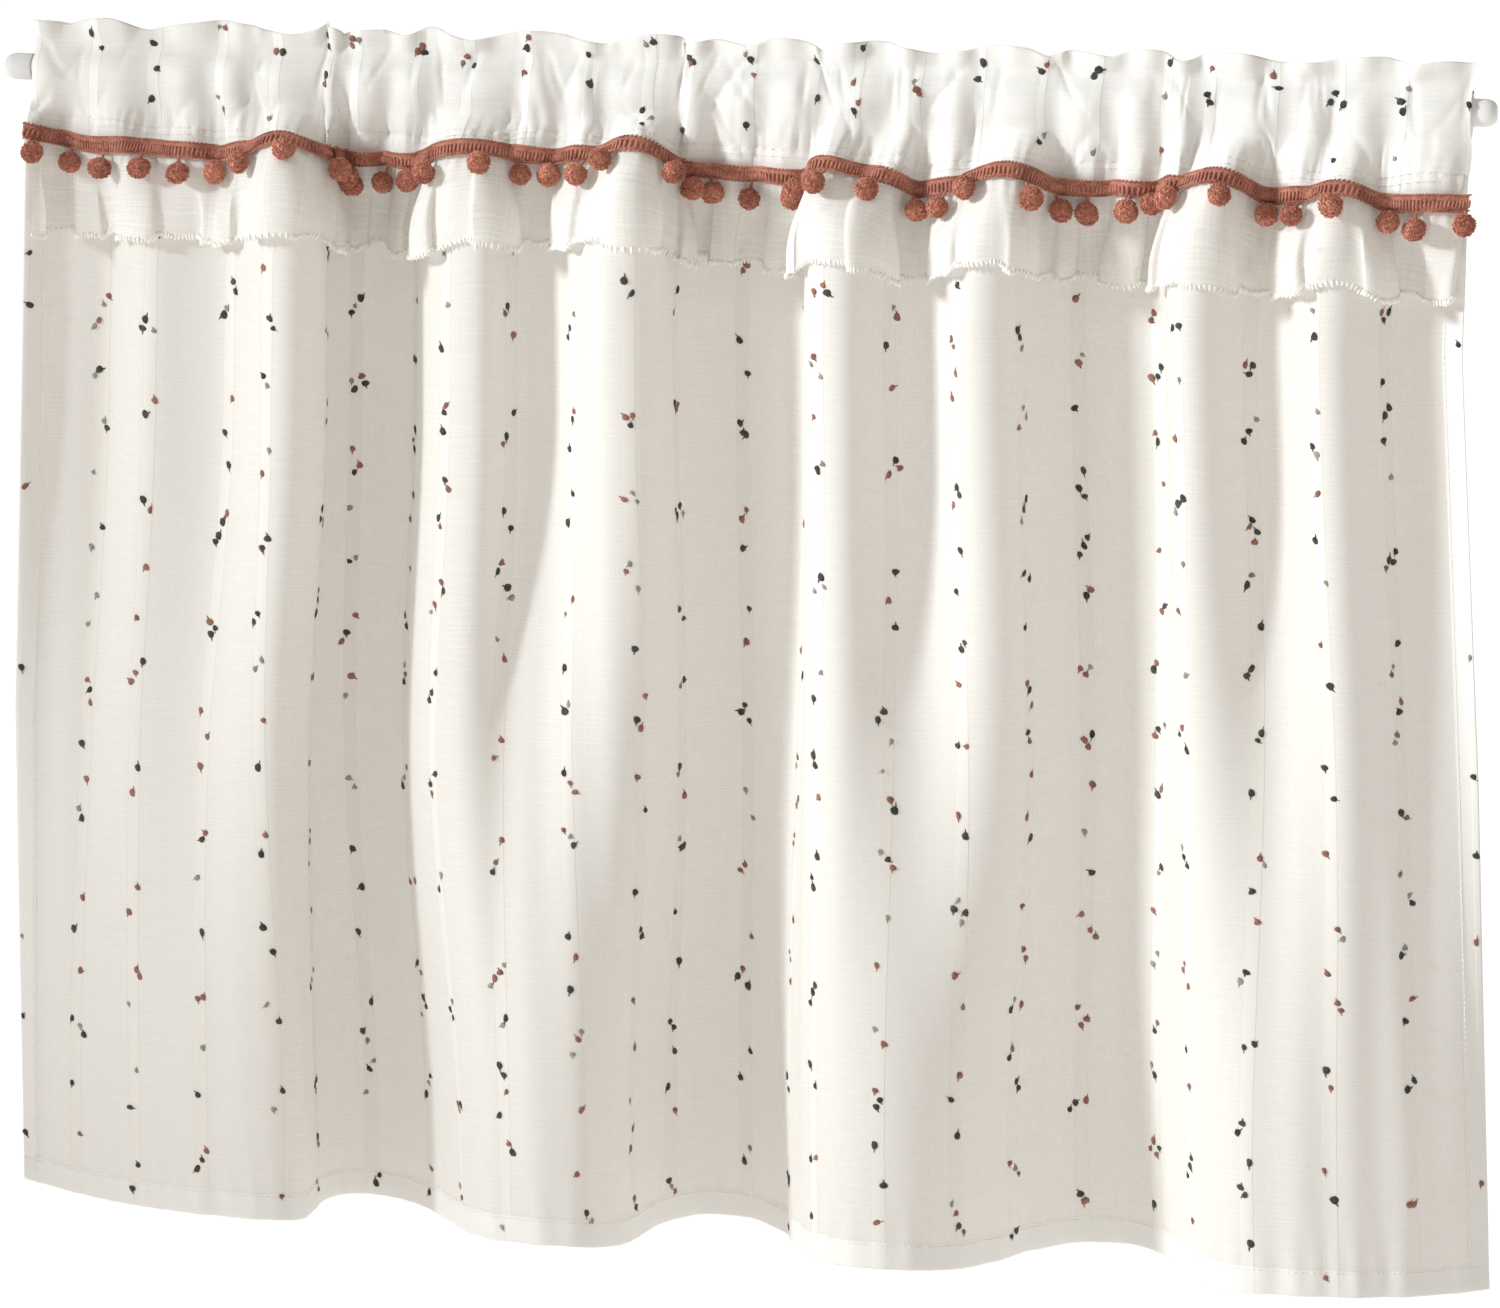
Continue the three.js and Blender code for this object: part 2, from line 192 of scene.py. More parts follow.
class Signal:
    """One output of a node tree. Sums on it add Math nodes, and node() adds any other node."""

    def __init__(self, tree, socket=None):
        self.tree = tree
        self.socket = socket

    def node(self, kind, settings=None, inputs=None, output=0):
        made = self.tree.nodes.new(kind)
        for name, value in (settings or {}).items():
            if name == "stops":
                while len(made.color_ramp.elements) < len(value):
                    made.color_ramp.elements.new(0.5)
                for element, (position, colour) in zip(made.color_ramp.elements, value):
                    element.position = position
                    element.color = (*colour, 1)
            else:
                setattr(made, name, value)
        for name, value in (inputs or {}).items():
            if isinstance(value, Signal):
                self.tree.links.new(value.socket, made.inputs[name])
            else:
                made.inputs[name].default_value = value
        return Signal(self.tree, made.outputs[output])

    def other(self, output):
        """Another output of this signal's node."""
        return Signal(self.tree, self.socket.node.outputs[output])

    def maths(self, operation, *others):
        """A Math node on this value and then the others."""
        return self.node("ShaderNodeMath", {"operation": operation}, dict(enumerate((self, *others))))

    def __add__(self, other):
        return self.maths("ADD", other)

    def __sub__(self, other):
        return self.maths("SUBTRACT", other)

    def __rsub__(self, other):
        return self.maths("MULTIPLY_ADD", -1, other)

    def __mul__(self, other):
        return self.maths("MULTIPLY", other)

    __radd__ = __add__
    __rmul__ = __mul__

    def wave(self, period):
        """A sine from -1 to 1 that repeats after each period."""
        return (self * (2 * math.pi / period)).maths("SINE")

    def ramp(self, start, end):
        """0 below start and 1 above end, in a soft step."""
        return self.node(
            "ShaderNodeMapRange",
            {"interpolation_type": "SMOOTHSTEP"},
            {"Value": self, "From Min": start, "From Max": end},
        )

    def noise(self, scale, detail=2.0, roughness=0.5, stretch=(1, 1, 1), dimensions="3D"):
        """Noise from 0 to 1 over this vector, with its grain longest where stretch is smallest."""
        stretched = self.node("ShaderNodeVectorMath", {"operation": "MULTIPLY"}, {0: self, 1: stretch})
        return self.node(
            "ShaderNodeTexNoise",
            {"noise_dimensions": dimensions},
            {"Vector": stretched, "Scale": scale, "Detail": detail, "Roughness": roughness},
            "Fac",
        )

    def blend(self, low, high):
        """A colour between two colours, where this is the share of the second."""
        settings = {"data_type": "RGBA", "clamp_factor": True}
        inputs = {0: self}
        for slot, colour in ((6, low), (7, high)):
            inputs[slot] = colour if isinstance(colour, Signal) else (*colour, 1)
        return self.node("ShaderNodeMix", settings, inputs, 2)


def new_material(name):
    """An empty material, its output node, and a signal to build on."""
    material = bpy.data.materials.new(name)
    material.use_nodes = True
    material.node_tree.nodes.clear()
    output = material.node_tree.nodes.new("ShaderNodeOutputMaterial")
    return material, output, Signal(material.node_tree)


COTTON = (0.765, 0.735, 0.68)
SATIN_SHINE = 1.10
DOUBLED_COTTON = (0.93, 0.912, 0.872)
# The colour of a painted shadow line: a darker hairline along each stripe's edges, where the raised satin
# would shade the ground
STRIPE_EDGE_SHADE = (0.56, 0.51, 0.44)
# The colour of light that glows through the threads, and its share
GLOW_COTTON = (0.92, 0.89, 0.835)
GLOW_SHARE = 0.12
STRIPE_HALF = 3.6
THREAD_PITCH = 0.9
SIDE_HEM = 12
BOTTOM_HEM = 14


def voile(name, cotton, sheer, striped=True, hemmed=False):
    """Plain-weave cotton with slubs. Light goes partly through it, less so at its stripes and hems."""
    material, output, start = new_material(name)
    flat = start.node("ShaderNodeAttribute", {"attribute_name": "flat_cloth"}, output="Vector")
    across = flat.node("ShaderNodeSeparateXYZ", None, {0: flat}, "X")
    down = across.other("Y")
    slub_across = flat.noise(1.0, 2.0, 0.6, (0.035, 1.3, 1), "2D").ramp(0.42, 0.72)
    slub_down = flat.noise(1.0, 2.0, 0.6, (1.5, 0.02, 1), "2D").ramp(0.42, 0.72)
    weave = across.wave(THREAD_PITCH) * down.wave(THREAD_PITCH)
    slubs = slub_across * 0.6 + slub_down * 0.4
    open_weave = 0.88 - slubs * 0.55
    colour = slubs.blend(cotton, tuple(min(1, c * 1.05) for c in cotton))
    alpha = 1 - open_weave * sheer
    height = weave * 0.07
    if striped:
        aside = across.maths("PINGPONG", STRIPE_SPACE / 2)
        stripe = 1 - aside.ramp(STRIPE_HALF - 0.3, STRIPE_HALF + 0.3)
        # A painted shadow line: the colour darkens in a thin line along both edges of each stripe, in
        # place of the shade of its raised edge
        painted_edge_shadow = 1 - (aside - STRIPE_HALF).maths("ABSOLUTE").ramp(0.1, 0.6)
        satin = tuple(min(1, c * SATIN_SHINE) for c in cotton)
        colour = (painted_edge_shadow * 0.24).blend(stripe.blend(colour, satin), STRIPE_EDGE_SHADE)
        alpha = alpha.maths("MAXIMUM", stripe * 0.97)
        height = height + stripe * 0.2
    if hemmed:
        middle = (across - FLAT_WIDTH / 2).maths("ABSOLUTE")
        side_hem = middle.ramp(FLAT_WIDTH / 2 - SIDE_HEM - 0.2, FLAT_WIDTH / 2 - SIDE_HEM + 0.4)
        bottom_hem = down.ramp(PANEL_BOTTOM - BOTTOM_HEM - 0.4, PANEL_BOTTOM - BOTTOM_HEM + 0.2)
        hem = side_hem.maths("MAXIMUM", bottom_hem)
        colour = hem.blend(colour, DOUBLED_COTTON)
        alpha = alpha.maths("MAXIMUM", hem * 0.985)
    relief = {"Strength": 0.55, "Distance": MM, "Height": height}
    bump = start.node("ShaderNodeBump", None, relief, "Normal")
    cloth = start.node(
        "ShaderNodeBsdfPrincipled",
        None,
        {
            "Base Color": colour,
            "Roughness": 0.82,
            "Specular IOR Level": 0.25,
            "Sheen Weight": 0.15,
            "Alpha": alpha,
            "Normal": bump,
        },
    )
    through = start.node("ShaderNodeBsdfTranslucent", None, {"Color": (*GLOW_COTTON, 1)})
    both = start.node("ShaderNodeMixShader", None, {"Fac": GLOW_SHARE, 1: cloth, 2: through})
    material.node_tree.links.new(both.socket, output.inputs["Surface"])
    return material


striped_voile = voile("striped voile", COTTON, 0.18, hemmed=True)

# How far the hem's turned layer lies behind the cloth, and the heights of the ripples and the hem's pucker
HEM_LAYER = 0.9
RIPPLE = 0.7
PUCKER = 0.35


def folded_back(turned, inner, fold):
    """Places along a sheet that is turned back at fold by a hem, and how far each lies behind."""
    near = np.array([2.2, 1.2, 0.5, 0])
    flap = np.linspace(turned, near[0], 5)[:-1]
    toward = -1 if fold > inner else 1
    back = fold + toward * np.concatenate([flap, near])
    layer = np.concatenate([np.full(len(flap), 1.0), [1.0, 0.95, 0.8, 0.45]])
    return back, layer


def panel_relief(across, down):
    """Small hand-high ripples in the cloth and the pucker that its stitched hem draws in."""
    ripple = RIPPLE * np.sin(across * 0.21 + 1.3 * np.sin(across * 0.013) + 0.8 * np.sin(down * 0.006))
    ripple = ripple * (0.5 + 0.5 * np.sin(across * 0.031 + down * 0.004))
    hem = np.exp(-((down - (PANEL_BOTTOM - BOTTOM_HEM)) / 16) ** 2)
    pucker = PUCKER * hem * np.sin(across * 0.5 + 2 * np.sin(across * 0.07))
    return ripple * smooth(down, PANEL_TOP, 130) + pucker


left_back, left_layer = folded_back(SIDE_HEM, 1, 0)
inner_across = np.arange(2.5, FLAT_WIDTH - 2.4, 2.49)
left_edge = np.concatenate([left_back, [0.5, 1.2]])
panel_across = np.concatenate([left_edge, inner_across, FLAT_WIDTH - left_edge[::-1]])
inner_layer = np.concatenate([[0.1, 0], np.zeros(len(inner_across)), [0, 0.1]])
across_layer = np.concatenate([left_layer, inner_layer, left_layer[::-1]])
bottom_back, bottom_layer = folded_back(BOTTOM_HEM, 0, PANEL_BOTTOM)
inner_down = np.concatenate([np.arange(PANEL_TOP, 120, 3.0), np.arange(120, PANEL_BOTTOM - 2, 4.4)])
panel_down = np.concatenate([inner_down, [PANEL_BOTTOM - 1.2, PANEL_BOTTOM - 0.5], bottom_back[::-1]])
down_layer = np.concatenate([np.zeros(len(inner_down)), [0, 0.1], bottom_layer[::-1]])
grid_across, grid_down = np.meshgrid(panel_across, panel_down)
behind = HEM_LAYER * (across_layer[None, :] + down_layer[:, None])
panel_points, _ = hang.at(grid_across, grid_down, panel_relief(grid_across, grid_down) - behind)
flat_places = np.stack([grid_across, grid_down, behind * 20], axis=-1)
panel = to_piece("panel_cloth", panel_points, grid_faces(*grid_across.shape), striped_voile, flat_places)
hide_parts("panel")
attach(panel, "root")

# The heading: the same cloth folded over to the back and sewn below the rod. The fold stands up above
# the rod as a frill, the rod pushes the two layers apart, and the stitching draws them into puckers.
HEADING_BOTTOM = 36.8
HEADING_TOP = -25
POCKET_SEAM = 27
FRILL_SEAM = -8.6
FRILL_SCALLOP = 4.2
FRILL_WAVE = 1.1
FRILL_LEAN = 3
SEAM_PUCKER = 0.45
SEAM_GROOVE = 0.55
# Half the section's depth at each drop, how closely its middle keeps to the rod, and how far it can puff
HEADING_SECTION = {
    "drop": [-25, -18, -13.5, -10, -7, -3.4, 3.4, 14, 25, 27, 36.8],
    "half": [0.5, 0.7, 1.3, 2.9, 5.4, 7.5, 8.0, 5.4, 1.3, 0.7, 0.6],
    "hug": [0.4, 0.55, 0.75, 0.93, 1, 1, 1, 0.8, 0.12, 0, 0],
    "puff": [0, 0, 0.1, 0.4, 0.9, 1.3, 1.8, 1.5, 0.2, 0, 0],
}
CREASES = 120
random = np.random.default_rng(7)


def eased(place, column):
    """A column of the heading's section at a drop, on a smooth curve through its rows."""
    drops = np.array(HEADING_SECTION["drop"], float)
    values = np.array(HEADING_SECTION[column], float)
    slopes = np.gradient(values, drops)
    i = np.clip(np.searchsorted(drops, place) - 1, 0, len(drops) - 2)
    span = drops[i + 1] - drops[i]
    t = (place - drops[i]) / span
    start = values[i] * (1 + 2 * t) * (1 - t) ** 2 + slopes[i] * span * t * (1 - t) ** 2
    return start + values[i + 1] * t * t * (3 - 2 * t) + slopes[i + 1] * span * t * t * (t - 1)


def puff_turn(across, phase):
    return GATHER_PHASE * gather_place(across / STRIPE_SPACE) + phase


def puff_wave(across, phase):
    return np.sin(puff_turn(across, phase))


def heading_creases(across, drop, creases):
    """Depth of the short slanted creases that the tight stitching pulls into the puffs."""
    depth = np.zeros_like(across)
    for place, height, lean, reach, deep, wide in creases:
        aside = across - place - lean * (drop - height)
        sharp = np.where(aside > 0, wide * 0.45, wide)
        depth += deep * np.exp(-(aside / sharp) ** 2) * np.exp(-((drop - height) / reach) ** 2)
    return depth


def draw_creases(low, high):
    return zip(
        random.uniform(0, FLAT_WIDTH, CREASES),
        random.choice([low, high], CREASES) + random.normal(0, 2.5, CREASES),
        random.normal(0, 0.55, CREASES),
        random.uniform(5, 15, CREASES),
        random.uniform(0.6, 2.3, CREASES),
        random.uniform(1.6, 3.8, CREASES),
    )


def heading_surface(side, creases):
    """One layer of the heading as a surface: side is 1 in front and -1 behind."""
    drops = np.append(np.arange(HEADING_TOP, HEADING_BOTTOM, 1.45), HEADING_BOTTOM)
    across, drop = np.meshgrid(every_mm[::2].astype(float), drops)
    middle, normal = hang.at(across, drop)
    hug = np.clip(eased(drop, "hug"), 0, 1)[..., None]
    rise = middle[..., 2] + drop
    keep = 1 - hug[..., 0]
    arch = np.sqrt(np.cos(across * 0.048 + 0.9 * np.sin(across * 0.023)) ** 2 + 0.02)
    dip = FRILL_SCALLOP * (1 - arch) * smooth(-drop, 10, 25)
    frill = np.sin(across * 0.14 + 1.6 * np.sin(across * 0.031)) + 0.4 * np.sin(across * 0.33)
    frill = FRILL_WAVE * frill * smooth(-drop, 9, 25)
    flutter = np.sin(across * 0.071 + 2) * smooth(-drop, 14, 25)
    towards = normal * (1 - hug) + np.array([0, -1, 0]) * hug
    puffed = np.clip(eased(drop, "puff"), 0, None) * (1 + puff_wave(across, -side))
    at_seams = np.exp(-((drop - POCKET_SEAM) / 6) ** 2) + 0.2 * np.exp(-((drop - FRILL_SEAM) / 4) ** 2)
    fine = SEAM_PUCKER * at_seams * np.sin(across * 0.84 + 2.2 * np.sin(across * 0.11) + side)
    deep = heading_creases(across, drop, creases) * smooth(drop, HEADING_TOP, -14)
    groove = SEAM_GROOVE * np.exp(-((drop - POCKET_SEAM) / 1.5) ** 2)
    lean = FRILL_LEAN * smooth(-drop, 8, 25)
    off = side * (eased(drop, "half") + puffed + fine - deep * 0.8 - groove) + frill + lean
    z = rise * keep - drop - dip - flutter
    points = np.stack([middle[..., 0], middle[..., 1] * keep, z], axis=-1) + towards * off[..., None]
    return Surface(every_mm[::2], drops, points)


heading_front = heading_surface(1, list(draw_creases(FRILL_SEAM + 4, POCKET_SEAM - 5)))
heading_back = heading_surface(-1, list(draw_creases(FRILL_SEAM + 4, POCKET_SEAM - 5)))
loop_points = np.concatenate([heading_back.points[::-1], heading_front.points])
loop_drops = np.concatenate([2 * HEADING_TOP - heading_back.down[::-1], heading_front.down])
grid_across, grid_down = np.meshgrid(heading_front.across, loop_drops)
flat_places = np.stack([grid_across, grid_down, np.zeros_like(grid_down)], axis=-1)
doubled_voile = voile("doubled voile", DOUBLED_COTTON, 0.08)
heading = to_piece(
    "heading_cloth", loop_points, grid_faces(*grid_across.shape), doubled_voile, flat_places
)
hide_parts("heading")
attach(heading, "root")

# The flounce: a strip of plainer, thinner voile, gathered under the braid. It flares into ruffles over
# the panel's top, and its cut edge is bound by a cream overlock thread.
FLOUNCE_TOP = 37
FLOUNCE_BOTTOM = 84
FLOUNCE_NEAR = 1.4
RUFFLE = 9.5
RUFFLE_UNDERCUT = 5.0
FLOUNCE_FULLNESS = 1.3
FLOUNCE_COTTON = (0.91, 0.888, 0.84)


def flounce_surface():
    across, share = np.meshgrid(every_mm.astype(float), np.linspace(0, 1, 27))
    bay = across / STRIPE_SPACE
    turn = across * 0.15 + 1.3 * np.sin(across * 0.023) + 0.3 * np.sin(share * 3 + across * 0.02)
    small = across * 0.41 + 1.5 * np.sin(across * 0.05)
    edge = FLOUNCE_BOTTOM + 3 * np.sin(bay * 0.9 + 2) + 1.3 * np.cos(turn) + 0.9 * np.sin(small)
    drop = FLOUNCE_TOP + share * (edge - FLOUNCE_TOP)
    open_out = smooth(share, -0.1, 0.8)
    full = 0.75 + 0.25 * np.sin(across * 0.037 + 2)
    ripple = 0.5 + full * (0.42 * np.cos(turn) + 0.08 * np.sin(small))
    pinches = np.exp(-((share - 0.1) / 0.22) ** 2)
    gathers = 0.35 * (1 + np.sin(across * 0.9 + 2 * np.sin(across * 0.09))) * pinches
    sway = RUFFLE_UNDERCUT * full * np.sin(2 * turn) * open_out
    off = FLOUNCE_NEAR + RUFFLE * ripple * open_out + gathers
    points, _ = hang.at(np.clip(across + sway, 0, FLAT_WIDTH), drop, off)
    return Surface(every_mm, share[:, 0], points)


flounce_voile = voile("flounce voile", FLOUNCE_COTTON, 0.26, striped=False)
flounce_sheet = flounce_surface()
flounce_length = FLOUNCE_BOTTOM - FLOUNCE_TOP
grid_across, grid_down = np.meshgrid(flounce_sheet.across, flounce_sheet.down)
flat_places = [grid_across * FLOUNCE_FULLNESS, grid_down * flounce_length, np.zeros_like(grid_down)]
flounce = to_piece(
    "flounce_cloth", flounce_sheet.points, grid_faces(*grid_across.shape),
    flounce_voile, np.stack(flat_places, axis=-1),
)
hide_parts("flounce")
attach(flounce, "root")


def yarn(name, colour, light, grain):
    """Dull spun yarn: matt, a little fluffy, and uneven in colour along its fibres."""
    material, output, start = new_material(name)
    place = start.node("ShaderNodeTexCoord", output="Object")
    fibre = place.noise(grain, 3.0, 0.65)
    patch = place.noise(grain * 0.12, 2.0, 0.5)
    tone = (fibre * 0.6 + patch * 0.4).ramp(0.32, 0.68).blend(colour, light)
    relief = {"Strength": 0.5, "Distance": 0.3 * MM, "Height": fibre}
    bump = start.node("ShaderNodeBump", None, relief, "Normal")
    finish = {"Roughness": 0.92, "Specular IOR Level": 0.2, "Sheen Weight": 0.1}
    shader = start.node("ShaderNodeBsdfPrincipled", None, {"Base Color": tone, "Normal": bump, **finish})
    material.node_tree.links.new(shader.socket, output.inputs["Surface"])
    return material


class Tree(Signal):
    """A Geometry Nodes tree with named inputs, built with the same calls as a material."""

    def __init__(self, name, inputs):
        super().__init__(bpy.data.node_groups.new(name, "GeometryNodeTree"))
        face = self.tree.interface
        face.new_socket("Geometry", in_out="INPUT", socket_type="NodeSocketGeometry")
        for title, kind in (inputs | {"Lumps": "Float", "Seed": "Int", "Material": "Material"}).items():
            face.new_socket(title, in_out="INPUT", socket_type="NodeSocket" + kind)
        face.new_socket("Geometry", in_out="OUTPUT", socket_type="NodeSocketGeometry")
        self.entry = self.tree.nodes.new("NodeGroupInput")

    def given(self, title):
        return Signal(self.tree, self.entry.outputs[title])

    def uneven(self, size, share, shift):
        """A size made larger or smaller on each axis, by up to a share, for each instance."""
        inputs = {"Min": 1 - share, "Max": 1 + share, "Seed": self.given("Seed") + shift}
        loose = self.node("FunctionNodeRandomValue", {"data_type": "FLOAT_VECTOR"}, inputs)
        return self.node("ShaderNodeVectorMath", {"operation": "MULTIPLY"}, {0: loose, 1: size})

    def along(self):
        """The turn that puts Z on each point's "run" attribute and X on its "out" attribute."""
        axes = {}
        for slot, title in (("Primary Axis", "run"), ("Secondary Axis", "out")):
            settings = {"data_type": "FLOAT_VECTOR"}
            axes[slot] = self.node("GeometryNodeInputNamedAttribute", settings, {"Name": title})
        settings = {"primary_axis": "Z", "secondary_axis": "X"}
        return self.node("FunctionNodeAxesToRotation", settings, axes)

    def set_on(self, points, instance, turn, size):
        inputs = {"Points": points, "Instance": instance, "Rotation": turn, "Scale": size}
        return self.node("GeometryNodeInstanceOnPoints", None, inputs)

    def join(self, *parts):
        made = self.tree.nodes.new("GeometryNodeJoinGeometry")
        for part in parts:
            self.tree.links.new(part.socket, made.inputs[0])
        return Signal(self.tree, made.outputs[0])

    def finish(self, instances, lump_size):
        """Realizes the instances, makes them lumpy, gives them the material, and closes the tree."""
        real = self.node("GeometryNodeRealizeInstances", None, {"Geometry": instances})
        lumps = {"Scale": 1 / (lump_size * MM), "Detail": 1.0}
        noise = self.node("ShaderNodeTexNoise", None, lumps, "Color")
        middle = self.node(
            "ShaderNodeVectorMath", {"operation": "SUBTRACT"}, {0: noise, 1: (0.5, 0.5, 0.5)}
        )
        push = self.node(
            "ShaderNodeVectorMath", {"operation": "SCALE"}, {0: middle, "Scale": self.given("Lumps")}
        )
        lumpy = self.node("GeometryNodeSetPosition", None, {"Geometry": real, "Offset": push})
        dress = {"Geometry": lumpy, "Material": self.given("Material")}
        dressed = self.node("GeometryNodeSetMaterial", None, dress)
        exit_node = self.tree.nodes.new("NodeGroupOutput")
        self.tree.links.new(dressed.socket, exit_node.inputs["Geometry"])


def grow(name, tree, points, out, run, **inputs):
    """Runs a tree on points that face "out" with their length along "run", and keeps the mesh."""
    piece = to_piece(name, points, [])
    for title, values in (("out", out), ("run", run)):
        attribute = piece.data.attributes.new(title, "FLOAT_VECTOR", "POINT")
        attribute.data.foreach_set("vector", np.asarray(values, np.float32).reshape(-1))
    modifier = piece.modifiers.new("grow", "NODES")
    modifier.node_group = tree.tree
    for item in tree.tree.interface.items_tree:
        if item.in_out == "INPUT" and item.name != "Geometry":
            modifier[item.identifier] = inputs[item.name.lower()]
    depsgraph = bpy.context.evaluated_depsgraph_get()
    mesh = bpy.data.meshes.new_from_object(piece.evaluated_get(depsgraph))
    piece.modifiers.clear()
    piece.data = mesh
    mesh.shade_smooth()
    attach(piece, "root")
    return piece


# One bead of thread is a stitch, a loop of the overlock or a rib of the braid, by its size alone
beads = Tree("beads", {"Size": "Vector", "Uneven": "Float"})
bead = beads.node("GeometryNodeMeshUVSphere", None, {"Segments": 6, "Rings": 6, "Radius": 0.5})
bead_size = beads.uneven(beads.given("Size"), beads.given("Uneven"), 0)
beads.finish(beads.set_on(beads.given("Geometry"), bead, beads.along(), bead_size), 2.0)


def directions(surface, across, down):
    """Unit vectors on a surface: along its width, and straight down it."""
    ahead, normal = surface.at(across + 0.8, down)
    run = ahead - surface.at(across - 0.8, down)[0]
    run = run / np.linalg.norm(run, axis=-1, keepdims=True)
    fall = np.cross(normal, run)
    return run, fall, normal


def thread_line(surface, across, down, off):
    """Places for one bead of thread after another, with the vectors that turn them."""
    across, down = (np.ravel(v).astype(float) for v in np.broadcast_arrays(across, down))
    points, _ = surface.at(across, down, off)
    return points, *directions(surface, across, down)


def join_lines(*lines):
    return [np.concatenate(parts) for parts in zip(*lines)]


# The overlock: cream thread that loops over the flounce's cut edge and binds it, thicker here and there.
# The loops lie side by side across the edge.
cream_thread = yarn("cream overlock thread", (0.88, 0.85, 0.79), (0.95, 0.93, 0.885), 900)
edge_places = np.arange(0.5, FLAT_WIDTH - 0.5, 1.05)
points, run, fall, normal = thread_line(flounce_sheet, edge_places, 0.99, 0.1)
overlock = grow(
    "flounce_overlock", beads, points, normal, fall,
    size=(1.5 * MM, 1.25 * MM, 3.1 * MM), uneven=0.35, lumps=0.4 * MM, seed=3, material=cream_thread,
)

# The stitching of the hems and of the pocket's seam: white sewing thread, a stitch each 3 mm, sunk a
# little into the cloth
sewing_thread = yarn("white sewing thread", (0.82, 0.79, 0.73), (0.92, 0.90, 0.86), 1500)
STITCH = 3.0
STITCH_SIZE = (0.5 * MM, 0.5 * MM, 2.3 * MM)
width_places = np.arange(STITCH, FLAT_WIDTH - STITCH, STITCH)
length_places = np.arange(90, PANEL_BOTTOM - STITCH, STITCH)
hem_line = PANEL_BOTTOM - BOTTOM_HEM + 1.5
side_lines = (SIDE_HEM - 1.5, FLAT_WIDTH - SIDE_HEM + 1.5)
points, run, fall, normal = join_lines(
    thread_line(hang, width_places, hem_line, panel_relief(width_places, hem_line) + 0.1),
    thread_line(heading_front, width_places, POCKET_SEAM, 0.1),
    thread_line(heading_front, width_places, POCKET_SEAM + 3.2, 0.1),
    thread_line(heading_back, width_places, POCKET_SEAM, -0.1),
)
stitches = grow(
    "row_stitches", beads, points, normal, run,
    size=STITCH_SIZE, uneven=0.12, lumps=0, seed=5, material=sewing_thread,
)
points, run, fall, normal = join_lines(*[
    thread_line(hang, side, length_places, panel_relief(side, length_places) + 0.1) for side in side_lines
])
side_stitches = grow(
    "side_hem_stitches", beads, points, normal, fall,
    size=STITCH_SIZE, uneven=0.12, lumps=0, seed=6, material=sewing_thread,
)

# The braid: a terracotta gimp, a flat tape wrapped in ribs of cotton between two edge cords. It is sewn
# over the seam, where it hides the flounce's gathered top.
BRAID_MIDDLE = 38
BRAID_WIDTH = 6.4
BRAID_NEAR = 3.5
BRAID_THICK = 1.3
RIB_PITCH = 1.9
braid_cotton = yarn("terracotta braid cotton", (0.26, 0.088, 0.061), (0.60, 0.262, 0.185), 900)
tape_across = every_mm[::2].astype(float)
half = BRAID_WIDTH / 2 - 0.3
around = [
    (-half, 0.2), (-half, BRAID_THICK - 0.3), (-half + 0.6, BRAID_THICK), (half - 0.6, BRAID_THICK),
    (half, BRAID_THICK - 0.3), (half, 0.2), (half - 0.6, 0), (-half + 0.6, 0), (-half, 0.2),
]
tape_rows = [hang.at(tape_across, BRAID_MIDDLE + lower, BRAID_NEAR + off)[0] for lower, off in around]
tape = to_piece("braid_tape", tape_rows, grid_faces(len(around), len(tape_across)), braid_cotton)
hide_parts("pompom_braid")
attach(tape, "root")

rib_places = np.arange(0.6, FLAT_WIDTH - 0.4, RIB_PITCH)
braid_front = BRAID_NEAR + BRAID_THICK
points, run, fall, normal = thread_line(hang, rib_places, BRAID_MIDDLE + 0.5, braid_front + 0.1)
ribs = grow(
    "braid_ribs", beads, points, normal, fall + 0.12 * run,
    size=(1.2 * MM, 1.6 * MM, 4.7 * MM), uneven=0.15, lumps=0.3 * MM, seed=11, material=braid_cotton,
)
cord_places = np.arange(0.6, FLAT_WIDTH - 0.4, 1.6)
points, run, fall, normal = join_lines(*[
    thread_line(hang, cord_places, BRAID_MIDDLE + lower, braid_front) for lower in (-2.9, 3.0)
])
edge_cords = grow(
    "braid_edge_cords", beads, points, normal, run + 0.45 * fall,
    size=(1.2 * MM, 1.0 * MM, 2.5 * MM), uneven=0.08, lumps=0.1 * MM, seed=12, material=braid_cotton,
)

# The pompoms: balls of cut wool, each on a short cord that is caught under the braid. They hang a
# little apart from the flounce, 43 in the row.
POMPOMS = 43
POMPOM_FIRST = 0.08
POMPOM_LAST = 24.95
POMPOM_RADIUS = 6.0
POMPOM_DROP = 47.4
POMPOM_OFF = 9.5
CORD_DROP = 40.5
CORD_OFF = 4.3
# The tufts on a ball, and the radius of its solid middle beside the whole ball's
TUFTS = 380
CORE_RADIUS = 0.86
wool = yarn("terracotta wool", (0.36, 0.115, 0.075), (0.72, 0.315, 0.215), 450)
puffs = Tree("pompoms", {"Radius": "Float", "Uneven": "Float", "Tuft": "Float", "Fuzz": "Float"})
core = puffs.node("GeometryNodeMeshIcoSphere", None, {"Radius": CORE_RADIUS, "Subdivisions": 3})
spread = puffs.node(
    "GeometryNodeDistributePointsOnFaces",
    None,
    {"Mesh": core, "Density": TUFTS / (4 * math.pi * CORE_RADIUS ** 2), "Seed": puffs.given("Seed")},
    "Points",
)
tuft = puffs.node(
    "GeometryNodeMeshCone",
    None,
    {"Vertices": 3, "Radius Top": 0.035, "Radius Bottom": 0.11, "Depth": puffs.given("Tuft")},
)
tuft_size = puffs.uneven((1, 1, 1), puffs.given("Fuzz"), 1)
lean = puffs.node(
    "FunctionNodeRandomValue",
    {"data_type": "FLOAT_VECTOR"},
    {"Min": (-0.4, -0.4, -3), "Max": (0.4, 0.4, 3), "Seed": 4},
)
turned = puffs.node(
    "FunctionNodeRotateRotation",
    {"rotation_space": "LOCAL"},
    {"Rotation": spread.other("Rotation"), "Rotate By": lean},
)
